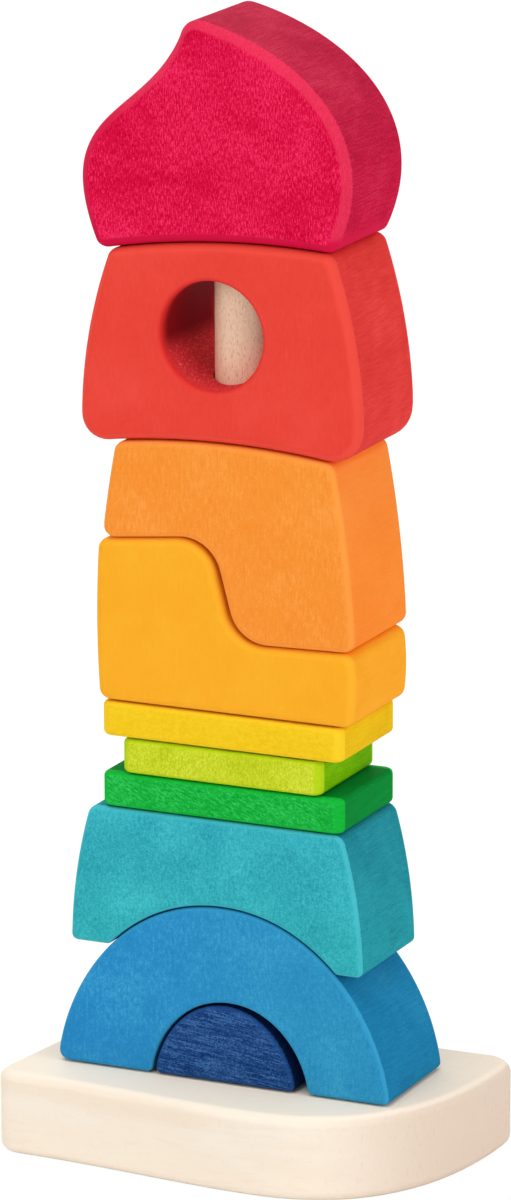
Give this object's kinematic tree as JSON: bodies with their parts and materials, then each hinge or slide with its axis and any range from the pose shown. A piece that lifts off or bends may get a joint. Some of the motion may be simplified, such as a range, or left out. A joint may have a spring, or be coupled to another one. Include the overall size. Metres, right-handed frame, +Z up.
{
  "type": "stacking castle",
  "caption": "Wooden stacking toy castle: stained blocks, planks, arch, window block and onion dome, bored and dropped over an upright dowel in a wavy base board.",
  "frame": {"origin": "on the base board's underside, on the dowel's axis", "axes": "+Z up along the dowel, +X to the right across the blocks' fronts, -Y out of the fronts"},
  "size_m": [0.1103, 0.0654, 0.2712],
  "materials": {
    "natural_maple": "sanded, untreated",
    "natural_beech": "sanded, untreated",
    "navy_stain": "water stain, matt",
    "blue_stain": "water stain, matt",
    "turquoise_stain": "water stain, matt",
    "green_stain": "water stain, matt",
    "lime_stain": "water stain, matt",
    "yellow_stain": "water stain, matt",
    "amber_stain": "water stain, matt",
    "orange_stain": "water stain, matt",
    "red_stain": "water stain, matt",
    "crimson_stain": "water stain, matt"
  },
  "bodies": {
    "base": {"base_board": "natural_maple", "centre_dowel": "natural_beech"},
    "half_disc": {"half_disc": "navy_stain"},
    "arch": {"rainbow_arch": "blue_stain"},
    "bridge": {"bridge_block": "turquoise_stain"},
    "green": {"green_plank": "green_stain"},
    "lime": {"lime_plank": "lime_stain"},
    "yellow": {"yellow_plank": "yellow_stain"},
    "lower_s": {"lower_s_block": "amber_stain"},
    "upper_s": {"upper_s_block": "orange_stain"},
    "window": {"window_block": "red_stain"},
    "dome": {"onion_dome": "crimson_stain"}
  },
  "joints": [
    {"name": "half_disc_lift", "type": "slide", "parent": "base", "child": "half_disc", "axis": [0, 0, 1], "range_m": [0, 0.23]},
    {"name": "arch_lift", "type": "slide", "parent": "half_disc", "child": "arch", "axis": [0, 0, 1], "range_m": [0, 0.23]},
    {"name": "bridge_lift", "type": "slide", "parent": "arch", "child": "bridge", "axis": [0, 0, 1], "range_m": [0, 0.2]},
    {"name": "green_lift", "type": "slide", "parent": "bridge", "child": "green", "axis": [0, 0, 1], "range_m": [0, 0.166]},
    {"name": "lime_lift", "type": "slide", "parent": "green", "child": "lime", "axis": [0, 0, 1], "range_m": [0, 0.158]},
    {"name": "yellow_lift", "type": "slide", "parent": "lime", "child": "yellow", "axis": [0, 0, 1], "range_m": [0, 0.149]},
    {"name": "lower_s_lift", "type": "slide", "parent": "yellow", "child": "lower_s", "axis": [0, 0, 1], "range_m": [0, 0.141]},
    {"name": "upper_s_lift", "type": "slide", "parent": "lower_s", "child": "upper_s", "axis": [0, 0, 1], "range_m": [0, 0.124]},
    {"name": "window_lift", "type": "slide", "parent": "upper_s", "child": "window", "axis": [0, 0, 1], "range_m": [0, 0.08]},
    {"name": "dome_lift", "type": "slide", "parent": "window", "child": "dome", "axis": [0, 0, 1], "range_m": [0, 0.033]}
  ]
}
